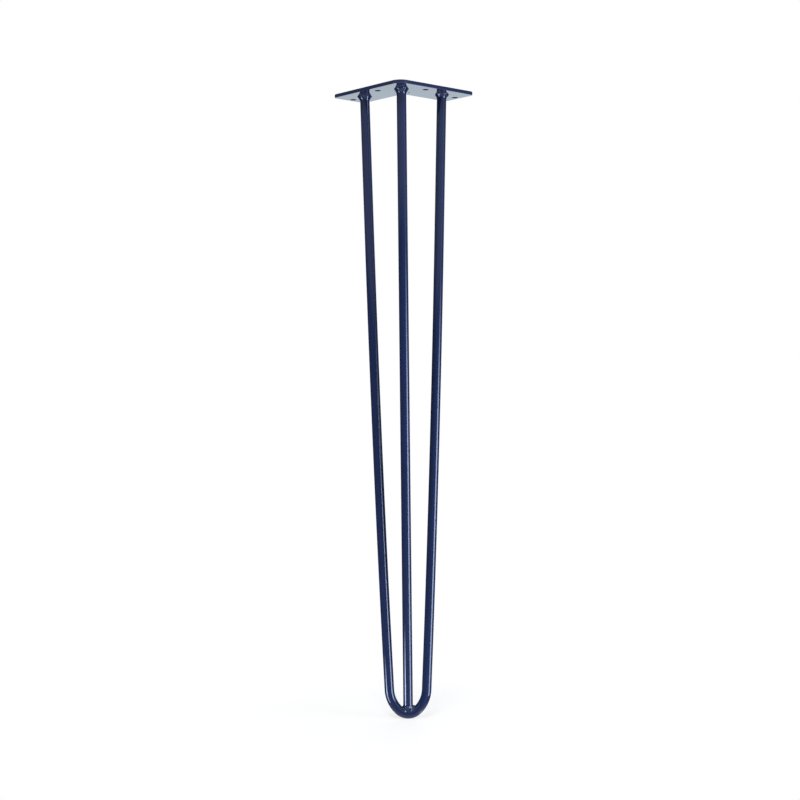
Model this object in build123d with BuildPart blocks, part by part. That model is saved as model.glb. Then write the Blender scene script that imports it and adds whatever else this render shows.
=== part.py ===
from build123d import *
from math import acos, atan2, cos, degrees, hypot, radians, sin, sqrt
import os

# Hairpin table leg: a chevron plate, a round bar bent into a hairpin, a straight bar and their welds.
# The origin is on the plate's upper face, where the middle lines of its two arms cross. The outer corner
# points to -Y, the arms run back to both sides at 45 degrees, and X = 0 is the mirror plane.

# Overall sizes
leg_height = 720
rod_diameter = 11

# Mounting plate, measured from the sharp outer corner along the outer edges
arm_length = 116
arm_width = 48
plate_thickness = 4
outer_corner_radius = 12
inner_corner_radius = 3
tip_radius = 5
edge_break = 0.5

# Screw holes, two in each arm, measured from the arm's end and from its outer edge
screw_hole_diameter = 6
outer_hole_from_end = 7.5
outer_hole_inset = 24.5
inner_hole_from_end = 65
inner_hole_inset = 12.5

# Rod tops on the plate, measured in the same way
wing_rod_from_end = 31
wing_rod_inset = 22
corner_rod_inset = 27

# Hairpin, on the rod's middle line: the foot is a tight bottom arc between two wider shoulder arcs, and
# each leg is a very flat arc with a straight top, which bows it outward by nearly 2 mm
foot_setback = 55
bottom_arc_radius = 15.5
bottom_arc_half_turn = 43
shoulder_arc_radius = 34
leg_arc_radius = 26000
leg_straight_length = 165

# The corner rod is cut square and let into the crown of the bend by this much
foot_seat_depth = 1.5

# Welds: each bead is a ring of overlapping drops whose middles lie just under the rod's skin
weld_drop_sink = 2.2
plate_weld_drop_radius = 4.6
plate_weld_drop_count = 11
foot_weld_drop_radius = 4
foot_weld_drop_count = 9
foot_weld_rise = 0.7

# Worked out from the sizes above
rod_radius = rod_diameter / 2
corner_to_origin = arm_width / sqrt(2)
weld_ring_radius = rod_radius - weld_drop_sink
trim_length = rod_diameter
plate_underside = Plane.XY.offset(-plate_thickness)

os.makedirs("parts", exist_ok=True)


def on_arm(along, inset, side=1):
    """Plan position on an arm: distance along its outer edge and in from it (side 1 right, -1 left)."""
    return side * (along - inset) / sqrt(2), (along + inset) / sqrt(2) - corner_to_origin


def mirrored(vector):
    """The same point or direction on the other side of the mirror plane."""
    return Vector(-vector.X, vector.Y, vector.Z)


# Mounting plate
hole_places = [
    on_arm(arm_length - from_end, inset, side)
    for from_end, inset in (
        (inner_hole_from_end, inner_hole_inset),
        (outer_hole_from_end, outer_hole_inset),
    )
    for side in (-1, 1)
]

with BuildPart() as mounting_plate:
    with BuildSketch(plate_underside):
        with BuildLine():
            FilletPolyline(
                on_arm(0, 0),
                on_arm(arm_length, 0),
                on_arm(arm_length, arm_width),
                on_arm(arm_width, arm_width),
                on_arm(arm_length, arm_width, -1),
                on_arm(arm_length, 0, -1),
                radius=[
                    outer_corner_radius, tip_radius, tip_radius,
                    inner_corner_radius, tip_radius, tip_radius,
                ],
                close=True,
            )
        make_face()
    extrude(amount=plate_thickness)
    faces_by_height = mounting_plate.faces().filter_by(Axis.Z).sort_by(Axis.Z)
    rims = faces_by_height[0].outer_wire().edges() + faces_by_height[-1].outer_wire().edges()
    chamfer(rims, edge_break)
    with Locations(*hole_places):
        Hole(screw_hole_diameter / 2)
mounting_plate.part.label = "mounting_plate"
export_step(mounting_plate.part, "parts/mounting_plate.step")


# Hairpin rod: half its middle line is drawn in the leaning plane of the hairpin, from the foot up to one top
wing_x, wing_y = on_arm(arm_length - wing_rod_from_end, wing_rod_inset)
foot_middle = Vector(0, foot_setback - corner_to_origin, rod_radius - leg_height)
hairpin_lean = wing_y - foot_middle.Y
hairpin_rise = -plate_thickness - foot_middle.Z
hairpin_plane = Plane(origin=foot_middle, x_dir=(1, 0, 0), z_dir=(0, -hairpin_rise, hairpin_lean))
wing_top = (wing_x, hypot(hairpin_lean, hairpin_rise))

# The middles of the leg's arc and of the shoulder arc and the rod's top are the corners of a triangle whose
# three sides are known: the two arcs touch, and the straight top runs on from the end of the leg's arc
bottom_turn = radians(bottom_arc_half_turn)
shoulder_x = (bottom_arc_radius - shoulder_arc_radius) * sin(bottom_turn)
shoulder_y = bottom_arc_radius + (shoulder_arc_radius - bottom_arc_radius) * cos(bottom_turn)
top_bearing = atan2(wing_top[1] - shoulder_y, wing_top[0] - shoulder_x)
top_distance = hypot(wing_top[1] - shoulder_y, wing_top[0] - shoulder_x)
top_reach = hypot(leg_arc_radius, leg_straight_length)
middles_apart = leg_arc_radius - shoulder_arc_radius
angle_at_shoulder = acos(
    (middles_apart**2 + top_distance**2 - top_reach**2) / (2 * middles_apart * top_distance)
)
angle_at_leg = acos((middles_apart**2 + top_reach**2 - top_distance**2) / (2 * middles_apart * top_reach))
leg_heading = degrees(top_bearing + angle_at_shoulder) - 90
leg_turn = degrees(angle_at_leg - atan2(leg_straight_length, leg_arc_radius))

with BuildPart() as hairpin_rod:
    with BuildLine(hairpin_plane) as hairpin_path:
        bottom_arc = JernArc((0, 0), (1, 0), bottom_arc_radius, bottom_arc_half_turn)
        shoulder_arc = JernArc(
            bottom_arc @ 1, bottom_arc % 1, shoulder_arc_radius, leg_heading - bottom_arc_half_turn
        )
        leg_arc = JernArc(shoulder_arc @ 1, shoulder_arc % 1, leg_arc_radius, leg_turn)
        right_top_run = PolarLine(
            leg_arc @ 1, leg_straight_length + trim_length, direction=leg_arc % 1
        )
        mirror(about=Plane.YZ)
    with BuildSketch(Plane(origin=right_top_run @ 1, z_dir=right_top_run % 1)):
        Circle(rod_radius)
    sweep(path=hairpin_path.wire())
    split(bisect_by=plate_underside, keep=Keep.BOTTOM)
hairpin_rod.part.label = "hairpin_rod"
export_step(hairpin_rod.part, "parts/hairpin_rod.step")


# Corner rod: from under the plate's corner to the crown of the bend, where its end is let in
corner_top = Vector(0, on_arm(corner_rod_inset, corner_rod_inset)[1], -plate_thickness)
corner_direction = (corner_top - foot_middle).normalized()
corner_end = foot_middle + corner_direction * (rod_radius - foot_seat_depth)

with BuildPart() as corner_rod:
    with BuildSketch(Plane(origin=corner_end, x_dir=(1, 0, 0), z_dir=corner_direction)):
        Circle(rod_radius)
    extrude(amount=(corner_top - corner_end).length + trim_length)
    split(bisect_by=plate_underside, keep=Keep.BOTTOM)
    add(hairpin_rod.part, mode=Mode.SUBTRACT)
corner_rod.part.label = "corner_rod"
export_step(corner_rod.part, "parts/corner_rod.step")


# Weld beads: one round the corner rod's end, lying in the crown of the bend, and one round each of the three
# rod tops under the plate. Plate and rods cut the drops, so each bead seats on them face to face.
right_direction = right_top_run % 1
right_top = hairpin_plane.from_local_coords(wing_top)
rod_tops = [
    (mirrored(right_top), mirrored(right_direction)),
    (right_top, right_direction),
    (corner_top, corner_direction),
]
foot_weld_middle = foot_middle + corner_direction * (rod_radius + foot_weld_rise)

with BuildPart() as weld_beads:
    with Locations(Plane(origin=foot_weld_middle, x_dir=(1, 0, 0), z_dir=corner_direction)):
        with PolarLocations(weld_ring_radius, foot_weld_drop_count):
            Sphere(foot_weld_drop_radius)
    add(hairpin_rod.part, mode=Mode.SUBTRACT)
    add(corner_rod.part, mode=Mode.SUBTRACT)
    for rod_top, rod_direction in rod_tops:
        with Locations(Plane(origin=rod_top, x_dir=(1, 0, 0), z_dir=rod_direction)):
            with PolarLocations(weld_ring_radius, plate_weld_drop_count):
                Sphere(plate_weld_drop_radius)
            Cylinder(rod_radius, 4 * plate_weld_drop_radius, mode=Mode.SUBTRACT)
    split(bisect_by=plate_underside, keep=Keep.BOTTOM)
weld_beads.part.label = "weld_beads"
export_step(weld_beads.part, "parts/weld_beads.step")
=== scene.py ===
from math import acos, atan2, cos, hypot, pi, radians, sin

import bmesh
import bpy
from mathutils import Matrix, Vector, noise


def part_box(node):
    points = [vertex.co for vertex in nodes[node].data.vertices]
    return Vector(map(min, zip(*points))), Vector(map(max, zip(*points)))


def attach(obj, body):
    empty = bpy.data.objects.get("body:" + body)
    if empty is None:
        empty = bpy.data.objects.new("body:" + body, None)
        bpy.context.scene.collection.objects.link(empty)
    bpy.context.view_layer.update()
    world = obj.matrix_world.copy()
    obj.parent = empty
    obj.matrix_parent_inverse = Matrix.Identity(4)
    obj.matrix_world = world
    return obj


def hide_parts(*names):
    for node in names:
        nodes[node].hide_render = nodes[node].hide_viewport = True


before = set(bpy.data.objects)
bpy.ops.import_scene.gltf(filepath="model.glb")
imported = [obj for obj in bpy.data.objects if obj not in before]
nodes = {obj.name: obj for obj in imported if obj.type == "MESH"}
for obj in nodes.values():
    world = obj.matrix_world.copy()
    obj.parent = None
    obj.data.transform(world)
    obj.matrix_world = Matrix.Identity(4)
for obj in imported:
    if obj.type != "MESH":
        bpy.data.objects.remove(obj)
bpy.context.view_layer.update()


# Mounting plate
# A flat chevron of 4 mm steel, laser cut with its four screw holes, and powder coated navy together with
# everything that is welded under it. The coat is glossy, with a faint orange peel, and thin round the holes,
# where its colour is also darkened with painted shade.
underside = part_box("mounting_plate")[0].z
navy = (0.0098, 0.0160, 0.047, 1)
coat_ior = 1.4
clouds_per_metre = 38.0
gloss_swing = -0.015


def add_node(tree, kind, inputs=(), **settings):
    """A node of that kind, with its settings and its inputs, which are values or other nodes' outputs."""
    node = tree.nodes.new(kind)
    for name, value in settings.items():
        setattr(node, name, value)
    for name, value in dict(inputs).items():
        if isinstance(value, bpy.types.NodeSocket):
            tree.links.new(value, node.inputs[name])
        else:
            node.inputs[name].default_value = value
    return node


def make_coat_film():
    """The powder coat's film: its colour, gloss and orange peel as they change over any of the pieces."""
    film = bpy.data.node_groups.new("coat_film", "ShaderNodeTree")
    for name, kind in (
        ("Colour", "NodeSocketColor"),
        ("Peel Size", "NodeSocketFloat"),
        ("Mottling", "NodeSocketFloat"),
        ("Roughness", "NodeSocketFloat"),
    ):
        film.interface.new_socket(name, in_out="INPUT", socket_type=kind)
    for name, kind in (
        ("Colour", "NodeSocketColor"),
        ("Roughness", "NodeSocketFloat"),
        ("Relief", "NodeSocketFloat"),
    ):
        film.interface.new_socket(name, in_out="OUTPUT", socket_type=kind)
    given = add_node(film, "NodeGroupInput").outputs
    place = add_node(film, "ShaderNodeTexCoord").outputs["Object"]

    # Orange peel: soft cells about as wide as the peel size, in metres
    cells_per_metre = add_node(
        film, "ShaderNodeMath", {0: 1.0, 1: given["Peel Size"]}, operation="DIVIDE"
    ).outputs[0]
    peel = add_node(
        film, "ShaderNodeTexNoise",
        {"Vector": place, "Scale": cells_per_metre, "Detail": 1.5, "Roughness": 0.4},
    ).outputs["Fac"]

    # Mottling: the film is a little thicker here and thinner there, over a few centimetres
    clouds = add_node(
        film, "ShaderNodeTexNoise",
        {"Vector": place, "Scale": clouds_per_metre, "Detail": 3.0, "Roughness": 0.55},
    ).outputs["Fac"]
    cloud_tone = add_node(
        film, "ShaderNodeMapRange",
        {"Value": clouds, "From Min": 0.3, "From Max": 0.7, "To Min": -1.0, "To Max": 1.0},
    ).outputs["Result"]
    tone_shift = add_node(
        film, "ShaderNodeMath", {0: cloud_tone, 1: given["Mottling"]}, operation="MULTIPLY"
    ).outputs[0]
    tone = add_node(film, "ShaderNodeMath", {0: tone_shift, 1: 1.0}, operation="ADD").outputs[0]
    toned = add_node(
        film, "ShaderNodeHueSaturation", {"Color": given["Colour"], "Value": tone}
    ).outputs["Color"]

    # Gloss: the film flows out less evenly where it is thin
    gloss_shift = add_node(
        film, "ShaderNodeMath", {0: cloud_tone, 1: gloss_swing}, operation="MULTIPLY"
    ).outputs[0]
    gloss = add_node(
        film, "ShaderNodeMath", {0: given["Roughness"], 1: gloss_shift}, operation="ADD", use_clamp=True
    ).outputs[0]

    add_node(film, "NodeGroupOutput", {"Colour": toned, "Roughness": gloss, "Relief": peel})
    return film


coat_film = make_coat_film()


def make_coat(name, peel_size, mottling, roughness, peel_height):
    """A material of the coat, with its nodes named Film and Bump, so that a piece can add its own marks."""
    material = bpy.data.materials.new(name)
    material.use_nodes = True
    tree = material.node_tree
    film = add_node(
        tree, "ShaderNodeGroup",
        {"Colour": navy, "Peel Size": peel_size, "Mottling": mottling, "Roughness": roughness},
        node_tree=coat_film, name="Film",
    ).outputs
    bump = add_node(
        tree, "ShaderNodeBump", {"Distance": peel_height, "Height": film["Relief"]}, name="Bump"
    ).outputs
    shader = tree.nodes["Principled BSDF"].inputs
    shader["IOR"].default_value = coat_ior
    tree.links.new(film["Colour"], shader["Base Color"])
    tree.links.new(film["Roughness"], shader["Roughness"])
    tree.links.new(bump["Normal"], shader["Normal"])
    return material


plate_coat = make_coat(
    "plate_coat", peel_size=0.0016, mottling=0.06, roughness=0.06, peel_height=0.00001
)
plate_tree = plate_coat.node_tree
plate_film = plate_tree.nodes["Film"].outputs
plate_place = add_node(plate_tree, "ShaderNodeTexCoord").outputs["Object"]

# The coat pulls back from the holes' sharp edges, and is thin and dull there and inside. Its colour there is
# painted dark, partly as the thin coat and partly as painted shade, so the holes look as dark as their shaded
# bores. The plate is the same on both sides of its middle, so a hole's place is given on one of them.
inner_hole = (0.02722, 0.01096, 0)
outer_hole = (0.05940, 0.06010, 0)
hole_shade_ring = (0.0035, 0.0038)
# The dark colour round the holes: the thin coat, and painted shade that stands in for the holes' shaded bores
thin_coat_and_painted_shade = (0.004, 0.005, 0.012, 1)
coat_shine = 0.5
place_on_plate = add_node(plate_tree, "ShaderNodeSeparateXYZ", {"Vector": plate_place}).outputs
from_middle = add_node(
    plate_tree, "ShaderNodeMath", {0: place_on_plate["X"]}, operation="ABSOLUTE"
).outputs[0]
on_one_side = add_node(
    plate_tree, "ShaderNodeCombineXYZ", {"X": from_middle, "Y": place_on_plate["Y"]}
).outputs["Vector"]
from_inner, from_outer = (
    add_node(
        plate_tree, "ShaderNodeVectorMath", {0: on_one_side, 1: hole}, operation="DISTANCE"
    ).outputs["Value"]
    for hole in (inner_hole, outer_hole)
)
from_hole = add_node(
    plate_tree, "ShaderNodeMath", {0: from_inner, 1: from_outer}, operation="MINIMUM"
).outputs[0]
# Where the thin coat and the painted shade round the holes lie: 1 at a hole's edge, 0 beyond the ring
thin_coat_and_shade_mask = add_node(
    plate_tree, "ShaderNodeMapRange",
    {"Value": from_hole, "From Min": hole_shade_ring[0], "From Max": hole_shade_ring[1], "To Min": 1.0, "To Max": 0.0},
    interpolation_type="SMOOTHSTEP",
).outputs["Result"]
plate_shine = add_node(
    plate_tree, "ShaderNodeMapRange", {"Value": thin_coat_and_shade_mask, "To Min": coat_shine, "To Max": 0.0}
).outputs["Result"]

# On a Mix node for colours, socket 0 is the factor, 6 and 7 are the colours, and output 2 is their mix
# Painted shade: the plate's colour goes over to the near-black colour round the holes
plate_tone_and_hole_shade = add_node(
    plate_tree, "ShaderNodeMix", {0: thin_coat_and_shade_mask, 6: plate_film["Colour"], 7: thin_coat_and_painted_shade}, data_type="RGBA"
).outputs[2]

# The coat only half hides the fine upright furrows that the laser left on the cut edges
furrow_width = 0.0005
furrow_depth = 0.5
furrow_stretch = (1, 1, 0.03)
furrow_fade = (0.1, 0.4)
plate_normal = add_node(plate_tree, "ShaderNodeNewGeometry").outputs["Normal"]
facing = add_node(plate_tree, "ShaderNodeSeparateXYZ", {"Vector": plate_normal}).outputs
lying_flat = add_node(plate_tree, "ShaderNodeMath", {0: facing["Z"]}, operation="ABSOLUTE").outputs[0]
cut_edge = add_node(
    plate_tree, "ShaderNodeMapRange",
    {"Value": lying_flat, "From Min": furrow_fade[0], "From Max": furrow_fade[1],
     "To Min": furrow_depth, "To Max": 0.0},
).outputs["Result"]
upright = add_node(
    plate_tree, "ShaderNodeVectorMath", {0: plate_place, 1: furrow_stretch}, operation="MULTIPLY"
).outputs["Vector"]
furrows = add_node(
    plate_tree, "ShaderNodeTexNoise", {"Vector": upright, "Scale": 1 / furrow_width, "Detail": 2.0}
).outputs["Fac"]
plate_relief = add_node(
    plate_tree, "ShaderNodeMath", {0: furrows, 1: cut_edge, 2: plate_film["Relief"]}, operation="MULTIPLY_ADD"
).outputs[0]

plate_shader = plate_tree.nodes["Principled BSDF"].inputs
plate_tree.links.new(plate_tone_and_hole_shade, plate_shader["Base Color"])
plate_tree.links.new(plate_shine, plate_shader["Specular IOR Level"])
plate_tree.links.new(plate_relief, plate_tree.nodes["Bump"].inputs["Height"])
nodes["mounting_plate"].data.materials[0] = plate_coat


# Hairpin rod
# One round bar of 11 mm steel, bent cold into a narrow U on a former: a tight bottom arc, two wider shoulder
# arcs and two legs that bow outward a little. The bend is the foot, and the cut tops are welded to the plate.
rod_low, rod_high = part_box("corner_rod")
rod_radius = (rod_high.x - rod_low.x) / 2
hairpin_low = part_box("hairpin_rod")[0]
bottom_arc_radius = 0.0155
bottom_arc_half_turn = radians(43)
shoulder_arc_radius = 0.034
leg_arc_radius = 26.0
leg_straight_length = 0.165
rod_sides = 48
bottom_arc_steps = 10
shoulder_arc_steps = 10
leg_arc_steps = 12
level_tolerance = 1e-5
merge_distance = 1e-6


def rod_top(node, right_side):
    """The middle of a rod's cut end under the plate, or of the right one of two."""
    ring = [
        v.co for v in nodes[node].data.vertices
        if abs(v.co.z - underside) < level_tolerance and (v.co.x > 0 or not right_side)
    ]
    across = [p.x for p in ring]
    along = [p.y for p in ring]
    return Vector(((min(across) + max(across)) / 2, (min(along) + max(along)) / 2, underside))


def edges_of(geometry):
    """The edges among the results of a bmesh operator."""
    return [e for e in geometry if isinstance(e, bmesh.types.BMEdge)]


def cut_at_plate(bm):
    """Cuts off what reaches above the plate's underside, and closes the cut, round a bore if there is one."""
    cut = bmesh.ops.bisect_plane(
        bm, geom=bm.verts[:] + bm.edges[:] + bm.faces[:], dist=merge_distance,
        plane_co=(0, 0, underside), plane_no=(0, 0, 1), clear_outer=True,
    )
    bmesh.ops.triangle_fill(bm, edges=edges_of(cut["geom_cut"]), normal=(0, 0, 1), use_beauty=True)


def mirror_whole(bm):
    """Adds the other half of a shape that ends at X = 0, and turns all its faces outward."""
    bmesh.ops.mirror(
        bm, geom=bm.verts[:] + bm.edges[:] + bm.faces[:], axis="X", merge_dist=merge_distance
    )
    bmesh.ops.remove_doubles(bm, verts=bm.verts, dist=merge_distance)
    bmesh.ops.recalc_face_normals(bm, faces=bm.faces)


def shade_round(bm):
    """Smooth shading all round, with flat cut ends and sharp rims to them."""
    for face in bm.faces:
        at_plate = all(abs(v.co.z - underside) < level_tolerance for v in face.verts)
        face.smooth = len(face.verts) < rod_sides and not at_plate
    for edge in bm.edges:
        edge.smooth = all(f.smooth for f in edge.link_faces)


def finish_piece(bm, name, material, *replaced):
    """A piece of the leg from its finished bmesh, in place of the named nodes of the frame."""
    mesh = bpy.data.meshes.new(name)
    bm.to_mesh(mesh)
    bm.free()
    mesh.materials.append(material)
    piece = bpy.data.objects.new(name, mesh)
    bpy.context.scene.collection.objects.link(piece)
    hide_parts(*replaced)
    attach(piece, "root")


# The hairpin is drawn in its own leaning plane: X across, Y up from the foot's middle to the plate
foot_middle = Vector((0, hairpin_low.y + rod_radius, hairpin_low.z + rod_radius))
wing_top = rod_top("hairpin_rod", right_side=True)
up_the_hairpin = Vector((0, wing_top.y - foot_middle.y, wing_top.z - foot_middle.z))
wing_height = up_the_hairpin.length
up_the_hairpin.normalize()
hairpin_place = Matrix.Translation(foot_middle) @ Matrix((
    (1, 0, 0),
    (0, up_the_hairpin.y, -up_the_hairpin.z),
    (0, up_the_hairpin.z, up_the_hairpin.y),
)).to_4x4()

# The middles of the leg's arc and of the shoulder arc and the rod's top are the corners of a triangle whose
# three sides are known: the two arcs touch, and the straight top runs on from the end of the leg's arc
shoulder_middle = Vector((
    (bottom_arc_radius - shoulder_arc_radius) * sin(bottom_arc_half_turn),
    bottom_arc_radius + (shoulder_arc_radius - bottom_arc_radius) * cos(bottom_arc_half_turn),
    0,
))
to_top = Vector((wing_top.x, wing_height, 0)) - shoulder_middle
top_reach = hypot(leg_arc_radius, leg_straight_length)
middles_apart = leg_arc_radius - shoulder_arc_radius
leg_bearing = atan2(to_top.y, to_top.x) + acos(
    (middles_apart**2 + to_top.length**2 - top_reach**2) / (2 * middles_apart * to_top.length)
)
leg_middle = shoulder_middle + middles_apart * Vector((cos(leg_bearing), sin(leg_bearing), 0))
leg_turn = acos(
    (middles_apart**2 + top_reach**2 - to_top.length**2) / (2 * middles_apart * top_reach)
) - atan2(leg_straight_length, leg_arc_radius)
top_heading = leg_bearing - pi / 2 + leg_turn
top_direction = Vector((cos(top_heading), sin(top_heading), 0))

# The right half is spun from the foot's middle round the three arcs, drawn on straight and cut, then mirrored
hairpin = bmesh.new()
bmesh.ops.create_circle(
    hairpin, segments=rod_sides, radius=rod_radius, matrix=Matrix.Rotation(pi / 2, 4, "Y")
)
rim = hairpin.edges[:]
for arc_middle, turn, steps in (
    (Vector((0, bottom_arc_radius, 0)), bottom_arc_half_turn, bottom_arc_steps),
    (shoulder_middle, leg_bearing - pi / 2 - bottom_arc_half_turn, shoulder_arc_steps),
    (leg_middle, leg_turn, leg_arc_steps),
):
    spun = bmesh.ops.spin(
        hairpin, geom=rim, cent=arc_middle, axis=(0, 0, 1), angle=turn, steps=steps, use_duplicate=False
    )
    rim = edges_of(spun["geom_last"])
drawn = bmesh.ops.extrude_edge_only(hairpin, edges=rim)["geom"]
bmesh.ops.translate(
    hairpin, verts=[v for v in drawn if isinstance(v, bmesh.types.BMVert)],
    vec=top_direction * (leg_straight_length + rod_radius),
)
bmesh.ops.transform(hairpin, matrix=hairpin_place, verts=hairpin.verts)
cut_at_plate(hairpin)
mirror_whole(hairpin)
shade_round(hairpin)

rod_coat = make_coat(
    "rod_coat", peel_size=0.0024, mottling=0.06, roughness=0.05, peel_height=0.000003
)
finish_piece(hairpin, "hairpin_bar", rod_coat, "hairpin_rod")


# Corner rod
# A straight length of the same bar, with its top welded under the plate's outer corner. Its lower end is sawn
# square and let into the crown of the bend, so the leg has three bars above and one foot below.
foot_seat_depth = 0.0015
corner_top = rod_top("corner_rod", right_side=False)
corner_direction = (corner_top - foot_middle).normalized()
corner_end = foot_middle + corner_direction * (rod_radius - foot_seat_depth)
corner_length = (corner_top - corner_end).length + 2 * rod_radius


def along_bar(middle, direction):
    """A place at that point, with its Z axis along the bar."""
    return Matrix.Translation(middle) @ direction.to_track_quat("Z", "Y").to_matrix().to_4x4()


corner = bmesh.new()
bmesh.ops.create_cone(
    corner, cap_ends=True, segments=rod_sides, radius1=rod_radius, radius2=rod_radius, depth=corner_length,
    matrix=along_bar(corner_end, corner_direction) @ Matrix.Translation((0, 0, corner_length / 2)),
)
cut_at_plate(corner)
shade_round(corner)
finish_piece(corner, "corner_bar", rod_coat, "corner_rod")


# Weld beads
# Steel laid down by hand in short pulses, so each bead is a hollow fillet with faint lumps and ripples. Three
# go round the bars' tops, under the plate, and one fills the step round the corner bar's end, in the bend's
# crown. Each is fused with the skin of its bar, which the bead holds as a sleeve just under the surface.
right_bead_radius, right_bead_height = 0.0081, 0.0044
left_bead_radius, left_bead_height = 0.0088, 0.0055
corner_bead_radius, corner_bead_height = 0.0086, 0.0057
slope_steps = 8
slope_hollow = 1.4
ripple_count = 11
ripple_height = 0.0001
ripple_slant = 500
lump_height = 0.0008
lumps_per_metre = 260
fused_depth = 0.00015
fused_radius = rod_radius - fused_depth
bore_share = 0.8
fused_bore = bore_share * rod_radius
fused_length = 0.004
plate_bite = 0.003
bead_turn_steps = 96
bead_voxel = 0.00025
settling_rounds = 26
closed_pore = 0.00001


def add_to_beads(shape):
    """Puts a finished shape in with the rest of the weld steel."""
    shape_mesh = bpy.data.meshes.new("weld_shape")
    shape.to_mesh(shape_mesh)
    shape.free()
    beads.from_mesh(shape_mesh)
    bpy.data.meshes.remove(shape_mesh)


def lay_fillet(place, profile):
    """A fillet round a bar: its closed profile turned about the bar, rougher the further it stands out."""
    fillet = bmesh.new()
    corners = [fillet.verts.new((radius, 0, height)) for radius, height in profile]
    runs = [fillet.edges.new(pair) for pair in zip(corners, corners[1:])]
    bmesh.ops.spin(
        fillet, geom=corners + runs, cent=(0, 0, 0), axis=(0, 0, 1), angle=2 * pi, steps=bead_turn_steps,
        use_merge=True,
    )
    bmesh.ops.remove_doubles(fillet, verts=fillet.verts, dist=merge_distance)
    bmesh.ops.recalc_face_normals(fillet, faces=fillet.faces)
    widest = max(radius for radius, height in profile)
    for vert in fillet.verts:
        outward = Vector((vert.co.x, vert.co.y, 0))
        if outward.length > rod_radius:
            standing_out = (outward.length - rod_radius) / (widest - rod_radius)
            turn = atan2(outward.x, outward.y)
            ripple = ripple_height * cos(ripple_count * turn + ripple_slant * vert.co.z)
            lump = lump_height * noise.noise((place @ vert.co) * lumps_per_metre)
            vert.co += outward.normalized() * standing_out * (ripple + lump)
    bmesh.ops.transform(fillet, matrix=place, verts=fillet.verts)
    add_to_beads(fillet)


def fused_skin(fillet_end, bore_end):
    """The rest of a fillet's profile: the bar's skin that it flows on to, and the way back along the bore."""
    skin_end = fillet_end + fused_length
    return (
        (fused_radius, fillet_end), (fused_radius, skin_end), (fused_bore, skin_end), (fused_bore, bore_end)
    )


def plate_profile(bead_radius, height):
    """The hollow slope from inside the plate down to the bar, and the skin that is fused with it."""
    reach = bead_radius - rod_radius
    slope = [
        (rod_radius + reach * (1 - step / slope_steps) ** slope_hollow, height * step / slope_steps)
        for step in range(slope_steps + 1)
    ]
    return ((fused_bore, -plate_bite), (bead_radius, -plate_bite), *slope, *fused_skin(height, -plate_bite))


beads = bmesh.new()
right_direction = (hairpin_place.to_3x3() @ top_direction).normalized()
mirror_x = Matrix.Diagonal((-1, 1, 1))
for top, direction, bead_radius, height in (
    (wing_top, right_direction, right_bead_radius, right_bead_height),
    (mirror_x @ wing_top, mirror_x @ right_direction, left_bead_radius, left_bead_height),
    (corner_top, corner_direction, corner_bead_radius, corner_bead_height),
):
    lay_fillet(along_bar(top, -direction), plate_profile(bead_radius, height))

# The foot's fillet has a soft shoulder on the bar and draws in from there to the front of the bend. Its
# profile is given as radius and height, from the foot's middle up the corner bar.
foot_bead_low = -0.0010
foot_bead_high = 0.0102
foot_profile = (
    (fused_bore, foot_bead_low), (0.0048, foot_bead_low), (0.00545, 0), (0.0058, 0.0040), (0.0061, 0.0070),
    (0.0062, 0.0083), (0.0061, 0.0092), (0.0057, 0.0099), *fused_skin(foot_bead_high, foot_bead_low),
)
lay_fillet(along_bar(foot_middle, corner_direction), foot_profile)

# The skin of the bend, which the same weld melts: a tube with its ends closed round the bore
fused_bend = bmesh.new()
for radius in (fused_radius, fused_bore):
    bmesh.ops.create_circle(
        fused_bend, segments=bead_turn_steps, radius=radius, matrix=Matrix.Rotation(pi / 2, 4, "Y")
    )
spun = bmesh.ops.spin(
    fused_bend, geom=fused_bend.edges[:], cent=(0, bottom_arc_radius, 0), axis=(0, 0, 1),
    angle=bottom_arc_half_turn, steps=2 * bottom_arc_steps, use_duplicate=False,
)
bmesh.ops.bridge_loops(fused_bend, edges=edges_of(spun["geom_last"]))
mirror_whole(fused_bend)
bmesh.ops.transform(fused_bend, matrix=hairpin_place, verts=fused_bend.verts)
add_to_beads(fused_bend)

# A full drop closes the groove right of the bar, a small one the left, and one speck spattered on the plate
groove_stretch = (1, 1.5, 1)
speck_stretch = (1, 1, 0.5)
for middle, radius, stretch in (
    (foot_middle + Vector((0.0064, 0, 0.0075)), 0.0026, groove_stretch),
    (foot_middle + Vector((-0.0059, 0, 0.0069)), 0.0020, groove_stretch),
    (Vector((0.0075, 0.0264, underside)), 0.0011, speck_stretch),
):
    bmesh.ops.create_icosphere(
        beads, subdivisions=4, radius=radius,
        matrix=Matrix.Translation(middle) @ Matrix.Diagonal((*stretch, 1)),
    )

# The steel melts together and settles, which rounds the shoulders and fills the grooves
loose_mesh = bpy.data.meshes.new("loose_steel")
beads.to_mesh(loose_mesh)
beads.free()
loose_steel = bpy.data.objects.new("loose_steel", loose_mesh)
bpy.context.scene.collection.objects.link(loose_steel)
melt = loose_steel.modifiers.new("melt", "REMESH")
melt.mode = "VOXEL"
melt.voxel_size = bead_voxel
settle = loose_steel.modifiers.new("settle", "SMOOTH")
settle.factor = 0.5
settle.iterations = settling_rounds
settled = loose_steel.evaluated_get(bpy.context.evaluated_depsgraph_get())
settled_mesh = bpy.data.meshes.new_from_object(settled)
bpy.data.objects.remove(loose_steel)
bpy.data.meshes.remove(loose_mesh)
beads = bmesh.new()
beads.from_mesh(settled_mesh)
bpy.data.meshes.remove(settled_mesh)

# A pore that has shrunk to a point closes, and leaves nothing behind
bmesh.ops.remove_doubles(beads, verts=beads.verts, dist=closed_pore)
bmesh.ops.delete(beads, geom=[v for v in beads.verts if not v.link_faces], context="VERTS")
cut_at_plate(beads)
bmesh.ops.recalc_face_normals(beads, faces=beads.faces)
shade_round(beads)

bead_coat = make_coat(
    "bead_coat", peel_size=0.0008, mottling=0.1, roughness=0.13, peel_height=0.00002
)
finish_piece(beads, "bead_rings", bead_coat, "weld_beads")


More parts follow.
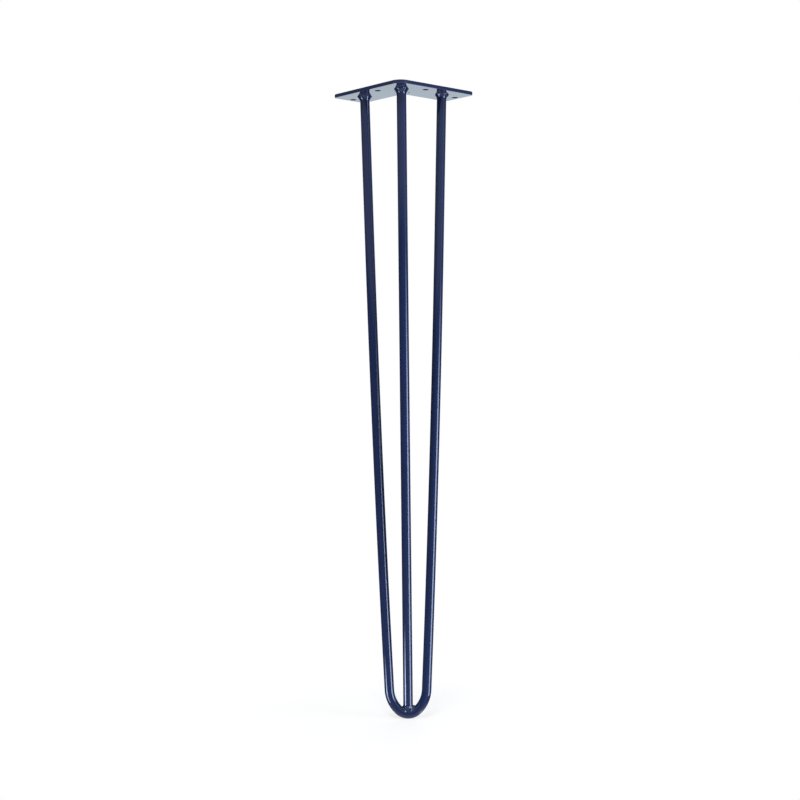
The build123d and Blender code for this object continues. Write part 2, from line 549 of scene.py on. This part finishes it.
# Floor and studio
# A plain white floor that keeps the foot's soft shadow and runs out into an even white, and a dark studio
# wall in front and at the sides, with a lid, which only the gloss of the coat shows.
floor_level = hairpin_low.z
floor_radius = 1.2
floor_sides = 96
floor_colour = (0.85, 0.85, 0.85, 1)
shadow_near = 0.10
shadow_far = 0.35
shadow_share = 0.35
open_floor_tone = 0.76
ambient = (0.32, 0.32, 0.32, 1)
white = (1, 1, 1, 1)


def seen_rays(tree):
    """1 for the rays that show the background, straight or mirrored, and 0 for those that light things."""
    path = add_node(tree, "ShaderNodeLightPath").outputs
    shine = add_node(
        tree, "ShaderNodeMath", {0: path["Is Camera Ray"], 1: path["Is Glossy Ray"]}, operation="MAXIMUM"
    ).outputs[0]
    return add_node(
        tree, "ShaderNodeMath", {0: shine, 1: path["Is Transmission Ray"]}, operation="MAXIMUM"
    ).outputs[0]


def show_shader(tree, shader):
    """Links a finished shader to the tree's output."""
    output = next(n for n in tree.nodes if n.type in ("OUTPUT_WORLD", "OUTPUT_MATERIAL"))
    tree.links.new(shader.outputs[0], output.inputs["Surface"])


def show_mix(tree, factor, first, second):
    """Links a mix of two shaders to the tree's output."""
    mix = add_node(tree, "ShaderNodeMixShader", {0: factor, 1: first.outputs[0], 2: second.outputs[0]})
    show_shader(tree, mix)


def new_stage_material(name):
    """A material with no shader yet, and its tree."""
    material = bpy.data.materials.new(name)
    material.use_nodes = True
    material.node_tree.nodes.remove(material.node_tree.nodes["Principled BSDF"])
    return material, material.node_tree


def add_stage(bm, name, material):
    """An object of the studio, which isn't part of the leg."""
    mesh = bpy.data.meshes.new(name)
    bm.to_mesh(mesh)
    bm.free()
    mesh.materials.append(material)
    stage_object = bpy.data.objects.new(name, mesh)
    bpy.context.scene.collection.objects.link(stage_object)
    return stage_object


world = bpy.data.worlds.new("studio")
world.use_nodes = True
bpy.context.scene.world = world
world_tree = world.node_tree
lit_by = world_tree.nodes["Background"]
lit_by.inputs["Color"].default_value = ambient
seen_world = add_node(world_tree, "ShaderNodeBackground", {"Color": white})
show_mix(world_tree, seen_rays(world_tree), lit_by, seen_world)

floor_material, floor_tree = new_stage_material("floor_white")
floor_place = add_node(floor_tree, "ShaderNodeTexCoord").outputs["Object"]
from_foot = add_node(
    floor_tree, "ShaderNodeVectorMath", {0: floor_place, 1: (0, foot_middle.y, floor_level)},
    operation="DISTANCE",
).outputs["Value"]
even_white = add_node(
    floor_tree, "ShaderNodeMapRange",
    {"Value": from_foot, "From Min": shadow_near, "From Max": shadow_far, "To Min": 1 - shadow_share},
    interpolation_type="SMOOTHSTEP",
).outputs["Result"]
glow_share = add_node(
    floor_tree, "ShaderNodeMath", {0: even_white, 1: seen_rays(floor_tree)}, operation="MULTIPLY"
).outputs[0]

# The glow makes up for what the lamps leave out, so the open floor is as white near the foot as far from it
glow_near_foot = (1 - shadow_share * open_floor_tone) / (1 - shadow_share)
glow_level = add_node(
    floor_tree, "ShaderNodeMapRange",
    {"Value": even_white, "From Min": 1 - shadow_share, "To Min": glow_near_foot},
).outputs["Result"]
lit_floor = add_node(floor_tree, "ShaderNodeBsdfDiffuse", {"Color": floor_colour})
glowing_floor = add_node(floor_tree, "ShaderNodeEmission", {"Color": white, "Strength": glow_level})
show_mix(floor_tree, glow_share, lit_floor, glowing_floor)
floor = bmesh.new()
bmesh.ops.create_circle(
    floor, cap_ends=True, segments=floor_sides, radius=floor_radius,
    matrix=Matrix.Translation((0, foot_middle.y, floor_level)),
)
floor_object = add_stage(floor, "floor", floor_material)
floor_object.visible_glossy = False
floor_object.visible_shadow = False

# The wall's brightness by height: dim at eye level, where the room is dark, and paler above and below. It
# darkens toward its sides, and is open at the bottom and behind the leg.
wall_radius = 2.6
wall_half_height = 2.5
wall_sides = 90
wall_open_half_angle = radians(14)
wall_tones = ((-1.3, 0.35), (-0.75, 0.06), (0.02, 0.02), (0.16, 0.58), (2.0, 0.65), (2.49, 0.03))
wall_colour = (0.92, 0.98, 1.12)
side_share = 0.35
side_fade = (-1.3, 0.3)


def make_glow(name, tones, colour, level):
    """A glowing material with its brightness given at some heights, and its nodes named Place and Glow."""
    material, tree = new_stage_material(name)
    object_place = add_node(tree, "ShaderNodeTexCoord").outputs["Object"]
    place = add_node(tree, "ShaderNodeSeparateXYZ", {"Vector": object_place}, name="Place").outputs
    low, high = tones[0][0], tones[-1][0]
    span = add_node(
        tree, "ShaderNodeMapRange", {"Value": place["Z"], "From Min": low, "From Max": high}
    ).outputs["Result"]
    ramp = add_node(tree, "ShaderNodeValToRGB", {"Fac": span})
    stops = ramp.color_ramp.elements
    while len(stops) < len(tones):
        stops.new(1.0)
    for stop, (height, tone) in zip(stops, tones):
        stop.position = (height - low) / (high - low)
        stop.color = (*(tone * channel for channel in colour), 1)
    glow = add_node(
        tree, "ShaderNodeEmission", {"Color": ramp.outputs["Color"], "Strength": level}, name="Glow"
    )
    show_shader(tree, glow)
    return material


wall_glow = make_glow("wall_dark", wall_tones, wall_colour, 1)
wall_tree = wall_glow.node_tree
sideways = add_node(
    wall_tree, "ShaderNodeMapRange",
    {"Value": wall_tree.nodes["Place"].outputs["Y"], "From Min": side_fade[0], "From Max": side_fade[1],
     "To Min": 1.0, "To Max": side_share},
).outputs["Result"]
wall_tree.links.new(sideways, wall_tree.nodes["Glow"].inputs["Strength"])
wall = bmesh.new()
bmesh.ops.create_cone(
    wall, cap_ends=True, segments=wall_sides, radius1=wall_radius, radius2=wall_radius,
    depth=2 * wall_half_height,
)
bmesh.ops.recalc_face_normals(wall, faces=wall.faces)
left_open = [
    f for f in wall.faces
    if f.normal.z < -0.5
    or abs(f.normal.z) < 0.5 and abs(atan2(f.normal.x, f.normal.y)) < wall_open_half_angle
]
bmesh.ops.delete(wall, geom=left_open, context="FACES")
wall_object = add_stage(wall, "wall", wall_glow)
wall_object.visible_camera = False
wall_object.visible_diffuse = False
wall_object.visible_transmission = False
wall_object.visible_shadow = False


# Lights
# A soft key above the camera, a fill from behind that no gloss shows, and a cool panel behind, which the
# plate's underside mirrors. Boards on the right and low on the left draw the long streaks down the bars,
# which fade out upward, and one far down on the right draws a short streak under the bend.
board_distance = 1.5
board_colour = (0.65, 0.76, 1.0)
right_board_tones = ((-1.25, 0.9), (-0.75, 1.0), (-0.41, 1.0), (-0.08, 0.08), (0.6, 0.08))
left_board_tones = ((-1.53, 0.0), (-1.46, 0.6), (-1.2, 0.6), (-1.02, 1.0), (-0.89, 0.0))
low_board_tones = ((-3.0, 1.0), (-2.4, 1.0))
leg_centre = (0, 0, -0.35)
cool = (0.43, 0.78, 1.0)


def add_panel(name, place, aim, width, height, watts, colour=(1, 1, 1)):
    """A rectangular soft light that faces a point and that the camera doesn't see."""
    lamp = bpy.data.lights.new(name, "AREA")
    lamp.shape = "RECTANGLE"
    lamp.size = width
    lamp.size_y = height
    lamp.energy = watts
    lamp.color = colour
    panel = bpy.data.objects.new(name, lamp)
    panel.location = place
    panel.rotation_mode = "QUATERNION"
    panel.rotation_quaternion = (Vector(aim) - Vector(place)).to_track_quat("-Z", "Y")
    panel.visible_camera = False
    bpy.context.scene.collection.objects.link(panel)
    return panel


def add_board(name, turn_right, width, tones, level):
    """A glowing upright board that faces the leg, so many degrees to the right of the way to the camera."""
    low, high = tones[0][0], tones[-1][0]
    turn = radians(turn_right)
    middle = (
        board_distance * sin(turn),
        foot_middle.y - board_distance * cos(turn),
        (low + high) / 2,
    )
    standing = Matrix.Rotation(turn, 4, "Z") @ Matrix.Rotation(pi / 2, 4, "X")
    board = bmesh.new()
    bmesh.ops.create_grid(
        board, x_segments=1, y_segments=1, size=0.5,
        matrix=Matrix.Translation(middle) @ standing @ Matrix.Diagonal((width, high - low, 1, 1)),
    )
    board_object = add_stage(board, name, make_glow(name + "_glow", tones, board_colour, level))
    board_object.visible_camera = False
    board_object.visible_shadow = False


add_panel("key", (-0.1, -1.5, 1.0), leg_centre, width=0.8, height=0.6, watts=26)
add_board("right_board", turn_right=66.7, width=0.75, tones=right_board_tones, level=17)
add_board("left_board", turn_right=-61, width=0.65, tones=left_board_tones, level=32)
add_board("low_board", turn_right=83, width=0.75, tones=low_board_tones, level=8)
back_fill = add_panel("back_fill", (0.2, 2.0, -0.2), leg_centre, width=1.0, height=0.8, watts=22)
back_fill.visible_glossy = False
add_panel("back_panel", (0, 2.0, -0.43), (0, 0, underside), width=0.8, height=0.4, watts=0.5, colour=cool)


# Camera
# Level with the middle of the leg and a little to its right, with a short telephoto lens, as the photograph
# was taken.
focal_pixels = 1519
image_pixels = 800
camera_place = Vector((0.0897, -1.7122, -0.3559))
camera_yaw = 0.0551
camera_roll = -0.0097
camera_data = bpy.data.cameras.new("camera")
camera_data.sensor_width = 36
camera_data.lens = camera_data.sensor_width * focal_pixels / image_pixels
camera = bpy.data.objects.new("camera", camera_data)
camera.matrix_world = (
    Matrix.Translation(camera_place)
    @ Matrix.Rotation(camera_yaw, 4, "Z")
    @ Matrix.Rotation(pi / 2, 4, "X")
    @ Matrix.Rotation(camera_roll, 4, "Z")
)
bpy.context.scene.collection.objects.link(camera)
bpy.context.scene.camera = camera
bpy.context.scene.view_settings.view_transform = "Standard"
